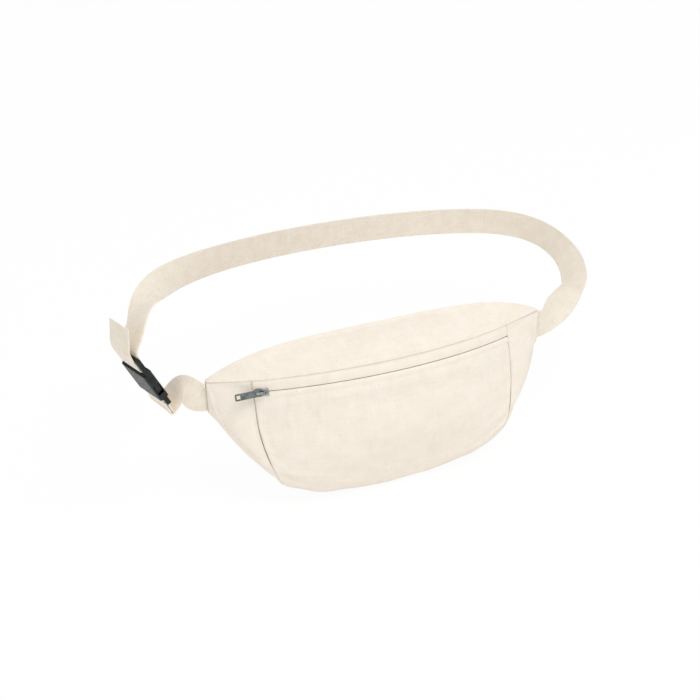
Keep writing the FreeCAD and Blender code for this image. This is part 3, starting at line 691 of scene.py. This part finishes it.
# ---- Buckle ----
# A side-release buckle moulded in black acetal with a fine matt grain: the female half with its bar, the
# male half with its ladder, and two springy prongs between them.
moulded, moulded_tree, moulded_shader, moulded_place = new_finish("Black moulded plastic")
scuffs = noise_value(moulded_tree, moulded_place["Object"], 160, 5, 0.62)
moulded_tree.links.new(ramp(moulded_tree, scuffs, [(0.45, (0.006, 0.008, 0.009)), (0.75, (0.022, 0.026, 0.027))]),
                       moulded_shader.inputs["Base Color"])
roughened(moulded_tree, moulded_shader, scuffs, 0.35, 0.22)
raised(moulded_tree, moulded_shader, noise_value(moulded_tree, moulded_place["Object"], 1500, 2), 0.00006, 0.5)
moulded_shader.inputs["Specular IOR Level"].default_value = 0.3
for name in ("buckle_female", "buckle_male", "prong_front", "prong_rear"):
    refinished(name, moulded)

# ---- Belt ----
# Cotton webbing 30 mm wide. It runs from the left ladder round the wearer, turns over once and is sewn
# into the right tip; its loose end comes back over the ladder's inner bar.
WEB_WIDTH, WEB, WEB_SEWN_IN, TAIL_LENGTH, WAVINESS = 0.030, 0.0016, 0.009, 0.030, 0.0003
BUCKLE = Vector((-0.217, 0.003, 0.040))
TURN, LEAN = math.radians(21), math.radians(26)
ACROSS = Vector((math.sin(TURN), -math.cos(TURN), 0))
LENGTHWAYS = Vector((-math.cos(TURN), -math.sin(TURN), 0)) * math.sin(LEAN) + Vector((0, 0, math.cos(LEAN)))
OUTWARD = ACROSS.cross(LENGTHWAYS)
HOUSING_END, FIT, SHOULDER, LADDER, BAR_R = 0.036, 0.0003, 0.006, 0.020, 0.0016
LADDER_START = HOUSING_END + FIT + SHOULDER
INNER_BAR = LADDER_START + 0.006
END_BAR = LADDER_START + LADDER - BAR_R
WRAP = BAR_R + FIT + WEB / 2               # from a bar's middle to the middle of the webbing round it
BACKWARDS = ACROSS * -1
TIP_Z = (TIP_TOP + TIP_BOTTOM) / 2


def buckle_point(x, y, z):
    """A point on the buckle: across it, along it from the female bar, and out of its face."""
    return BUCKLE + ACROSS * x + LENGTHWAYS * y + OUTWARD * z


def half_turn(y, start, turn):
    """Stations half way round the bar at y, from the angle start and the way that turn goes."""
    angles = [math.radians(start + turn * i) for i in range(0, 210, 30)]
    return [(buckle_point(0, y + WRAP * math.cos(a), WRAP * math.sin(a)), BACKWARDS) for a in angles]


def into_tip(side, across):
    """Webbing that enters a tip and is sewn in there."""
    depth = -(CANVAS + (TIP_DEPTH - 2 * CANVAS) / 2)
    return [(Vector((side * (HALF_LENGTH + d), depth, TIP_Z)), across)
            for d in (0.008, 0.004, 0, -WEB_SEWN_IN / 2, -WEB_SEWN_IN)]


def smooth_towards(points, count):
    """A smooth line drawn towards its points, which starts and ends on the first and last of them."""
    p = np.array(points, float)
    spans = len(p) - 3
    knots = np.concatenate([[0] * 3, np.arange(spans + 1), [spans] * 3])
    line = []
    for x in np.linspace(0, spans, count):
        k = min(int(x), spans - 1) + 3
        d = [p[k - 3 + j].copy() for j in range(4)]
        for r in range(1, 4):
            for j in range(3, r - 1, -1):
                low, high = knots[j + k - 3], knots[j + 1 + k - r]
                share = (x - low) / (high - low)
                d[j] = d[j - 1] * (1 - share) + d[j] * share
        line.append(d[3])
    return line


def webbing(name, stations, per_span=9):
    """A flat woven strip along its stations, each width squared to the route."""
    edges, last = {1: [], -1: []}, len(stations) - 1
    for i, (middle, across) in enumerate(stations):
        along = (stations[min(i + 1, last)][0] - stations[max(i - 1, 0)][0]).normalized()
        across = (across - along * across.dot(along)).normalized()
        for side, points in edges.items():
            points.append(middle + across * (side * WEB_WIDTH / 2))
    lines = [smooth_towards(edges[side], per_span * last + 1) for side in (1, -1)]
    shares = (0, 0.025, 0.08, 0.2, 0.4, 0.6, 0.8, 0.92, 0.975, 1)
    grid = np.array([[a + (b - a) * s for s in shares] for a, b in zip(*lines)], float)
    normal = outward(grid)
    for i, j in np.ndindex(grid.shape[:2]):
        grid[i, j] += normal[i, j] * WAVINESS * noise.noise(Vector(grid[i, j]) * 55)
    strip = laid_cloth(name, grid)
    return given_thickness(strip, WEB, 0)


ladder_top = END_BAR + BAR_R + 0.001
tail = [(ladder_top + TAIL_LENGTH, WRAP - 0.014), (ladder_top + 0.7 * TAIL_LENGTH, WRAP - 0.009),
        (ladder_top + 0.45 * TAIL_LENGTH, WRAP - 0.004), (ladder_top + 0.008, WRAP - 0.001),
        (ladder_top + 0.002, WRAP), (ladder_top - 0.005, WRAP), (INNER_BAR + 0.006, WRAP)]
belt_stations = [(buckle_point(0, y, z), BACKWARDS) for y, z in tail]
belt_stations += half_turn(INNER_BAR, 90, 1)
belt_stations += [(buckle_point(0, y, -WRAP), BACKWARDS)
                  for y in (INNER_BAR + 0.006, ladder_top - 0.005, ladder_top + 0.003)]
# Its way round the wearer: the middle of the belt, then the direction across it.
belt_stations += [
    (Vector((-0.236, -0.003, 0.108)), Vector((-0.35, 0.93, -0.05))),
    (Vector((-0.228, 0.006, 0.116)), Vector((-0.28, 0.88, -0.30))),
    (Vector((-0.221, 0.019, 0.122)), Vector((-0.20, 0.93, -0.25))),
    (Vector((-0.210, 0.038, 0.125)), Vector((-0.05, 0.95, 0.0))),
    (Vector((-0.192, 0.071, 0.117)), Vector((0.03, 0.80, 0.50))),
    (Vector((-0.160, 0.112, 0.104)), Vector((0.10, 0.25, 0.95))),
    (Vector((-0.104, 0.162, 0.085)), Vector((0.10, 0.0, 1.0))),
    (Vector((-0.022, 0.203, 0.067)), Vector((0.10, 0.0, 1.0))),
    (Vector((0.070, 0.229, 0.051)), Vector((0.05, 0.0, 1.0))),
    (Vector((0.156, 0.233, 0.041)), Vector((0.0, 0.0, 1.0))),
    (Vector((0.224, 0.212, 0.039)), Vector((0.05, -0.05, 1.0))),
    (Vector((0.258, 0.180, 0.037)), Vector((0.15, -0.10, 1.0))),
    (Vector((0.268, 0.140, 0.035)), Vector((0.35, -0.15, 0.90))),
    (Vector((0.265, 0.098, 0.032)), Vector((0.75, -0.20, 0.60))),
    (Vector((0.2510, 0.0660, 0.0305)), Vector((0.80, -0.30, 0.60))),
    (Vector((0.2490, 0.0605, 0.0300)), Vector((0.84, -0.34, 0.40))),
    (Vector((0.2225, 0.0320, 0.0288)), Vector((0.74, -0.55, -0.32))),
    (Vector((0.1980, 0.0104, 0.0300)), Vector((0.38, -0.50, -0.77))),
]
belt_stations += into_tip(1, Vector((0, 0, -1)))

webbing_cotton = cloth_material("Cotton webbing", (0.885, 0.810, 0.700), (0.790, 0.700, 0.580),
                                (560, 400), 0.35, 0.00022, 0.35)
belt = webbing("belt", belt_stations)
belt.data.materials.append(webbing_cotton)
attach(belt, "pouch")
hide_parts("belt_web")

# ---- Short webbing ----
# The same webbing, folded round the female bar and tacked to itself, then twisted upright into the left
# tip.
SEAM_GAP, LOOP_RETURN, TACK_FROM_BAR, TACK_LENGTH = 0.0003, 0.017, 0.009, 0.002
lower = WRAP - WEB - SEAM_GAP
closing = -TACK_FROM_BAR + 0.001
returned = [(lower, -LOOP_RETURN), (lower, -LOOP_RETURN + 0.003), (lower, closing), (0, closing / 2),
            (-WRAP, -0.001)]
short_stations = [(buckle_point(0, y, z), BACKWARDS) for z, y in returned]
short_stations += half_turn(0, 180, -1)
short_stations += [(buckle_point(0, y, WRAP), BACKWARDS)
                   for y in (-0.005, -0.010, -0.015, -LOOP_RETURN - 0.003)]
short_stations += [(Vector((-HALF_LENGTH - 0.019, 0.006, TIP_Z + 0.018)), Vector((0.10, 0.80, 0.60))),
                   (Vector((-HALF_LENGTH - 0.013, -0.001, TIP_Z + 0.007)), Vector((0.0, 0.25, 0.95)))]
short_stations += into_tip(-1, Vector((0, 0, 1)))
short = webbing("short_webbing", short_stations)
short.data.materials.append(webbing_cotton)
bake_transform(short)
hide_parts("short_web")

# ---- Tack ----
# A bar of zigzag stitches in natural thread, sewn by machine through both layers of the short webbing, close
# to the female bar.
thread = cloth_material("Natural thread", (0.90, 0.83, 0.72), (0.72, 0.63, 0.50), (2500, 2500), 0.2, 0.00008, 0)
STITCHES, THREAD_R, EDGE_MARGIN = 34, 0.00019, 0.002
face_z = WRAP + WEB / 2 + 0.00022


def needle_hole(k):
    """Where the thread goes through after stitch k: from side to side, and nearer and farther by turns."""
    x = -(WEB_WIDTH / 2 - EDGE_MARGIN) + (WEB_WIDTH - 2 * EDGE_MARGIN) * k / STITCHES
    return buckle_point(x, -TACK_FROM_BAR - (TACK_LENGTH - 0.0002) * (k % 2) - 0.0001, face_z)


bm = bmesh.new()
bm.loops.layers.uv.new("UVMap")            # left empty: the thread is too fine to show a weave
for k in range(STITCHES):
    begin, end = needle_hole(k), needle_hole(k + 1)
    turn = (end - begin).to_track_quat("Z", "Y").to_matrix().to_4x4()
    bmesh.ops.create_cone(bm, cap_ends=True, segments=8, radius1=THREAD_R, radius2=THREAD_R,
                          depth=(end - begin).length, matrix=Matrix.Translation((begin + end) / 2) @ turn)
tack = new_piece("tack_stitches", bm, round_sides=True)
tack.data.materials.append(thread)
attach(tack, "female")
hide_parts("short_web_tack")

# ---- Floor, light and camera ----
# A white sweep under the pouch, a large soft lamp high in front and a weaker one from the left. The floor and
# the sky shine white where they are looked at, and light the pouch more softly than that.
FLOOR_Z = cad_box[0].z - 0.001
FLOOR_GLOW, SKY_FILL = 0.94, 0.72


def looked_at(tree):
    """1 where the eye sees it straight, in a reflection or through something; 0 where it only gives light."""
    path = tree.nodes.new("ShaderNodeLightPath").outputs
    reflected = math_node(tree, "MAXIMUM", path["Is Glossy Ray"], path["Is Transmission Ray"])
    return math_node(tree, "MAXIMUM", path["Is Camera Ray"], reflected)


bm = bmesh.new()
bmesh.ops.create_grid(bm, x_segments=2, y_segments=2, size=6, matrix=Matrix.Translation((0, 0, FLOOR_Z)))
floor = new_piece("floor", bm)
floor_paint = bpy.data.materials.new("White floor")
floor_paint.use_nodes = True
floor_tree = floor_paint.node_tree
matt = floor_tree.nodes["Principled BSDF"]
matt.inputs["Base Color"].default_value = (0.98, 0.98, 0.98, 1)
matt.inputs["Roughness"].default_value = 0.9
matt.inputs["Specular IOR Level"].default_value = 0.0
glow = floor_tree.nodes.new("ShaderNodeEmission")
floor_mix = floor_tree.nodes.new("ShaderNodeMixShader")
floor_tree.links.new(math_node(floor_tree, "MULTIPLY", looked_at(floor_tree), FLOOR_GLOW), floor_mix.inputs["Fac"])
floor_tree.links.new(matt.outputs[0], floor_mix.inputs[1])
floor_tree.links.new(glow.outputs[0], floor_mix.inputs[2])
floor_tree.links.new(floor_mix.outputs[0], floor_tree.nodes["Material Output"].inputs["Surface"])
floor.data.materials.append(floor_paint)

world = bpy.data.worlds.new("Studio")
bpy.context.scene.world = world
world.use_nodes = True
sky = world.node_tree
white, fill = sky.nodes["Background"], sky.nodes.new("ShaderNodeBackground")
white.inputs["Color"].default_value = fill.inputs["Color"].default_value = (1, 1, 1, 1)
white.inputs["Strength"].default_value, fill.inputs["Strength"].default_value = 1.0, SKY_FILL
sky_mix = sky.nodes.new("ShaderNodeMixShader")
sky.links.new(looked_at(sky), sky_mix.inputs["Fac"])
sky.links.new(fill.outputs[0], sky_mix.inputs[1])
sky.links.new(white.outputs[0], sky_mix.inputs[2])
sky.links.new(sky_mix.outputs[0], sky.nodes["World Output"].inputs["Surface"])


def soft_lamp(name, place, size, power):
    """A round lamp that points at the pouch."""
    lamp = bpy.data.lights.new(name, "AREA")
    lamp.shape, lamp.size, lamp.energy = "DISK", size, power
    holder = bpy.data.objects.new(name, lamp)
    holder.location = place
    holder.rotation_euler = (Vector(place) * -1).to_track_quat("-Z", "Y").to_euler()
    bpy.context.scene.collection.objects.link(holder)


soft_lamp("key", (0.5, -0.9, 2.1), 1.2, 18)
soft_lamp("side", (-1.6, -1.4, 0.8), 1.2, 4)

camera = bpy.data.cameras.new("camera")
camera.lens, camera.sensor_width = 75.6, 36
viewer = bpy.data.objects.new("camera", camera)
right = Vector((0.93606722, -0.35054709, -0.02991471))
above = Vector((0.20471622, 0.47355082, 0.85664514))
behind = right.cross(above)
turned = Matrix((right, above, behind)).transposed().to_4x4()
viewer.matrix_world = Matrix.Translation((-0.4314, -1.1431, 0.7731)) @ turned
bpy.context.scene.collection.objects.link(viewer)
bpy.context.scene.camera = viewer
bpy.context.scene.view_settings.view_transform = "Standard"
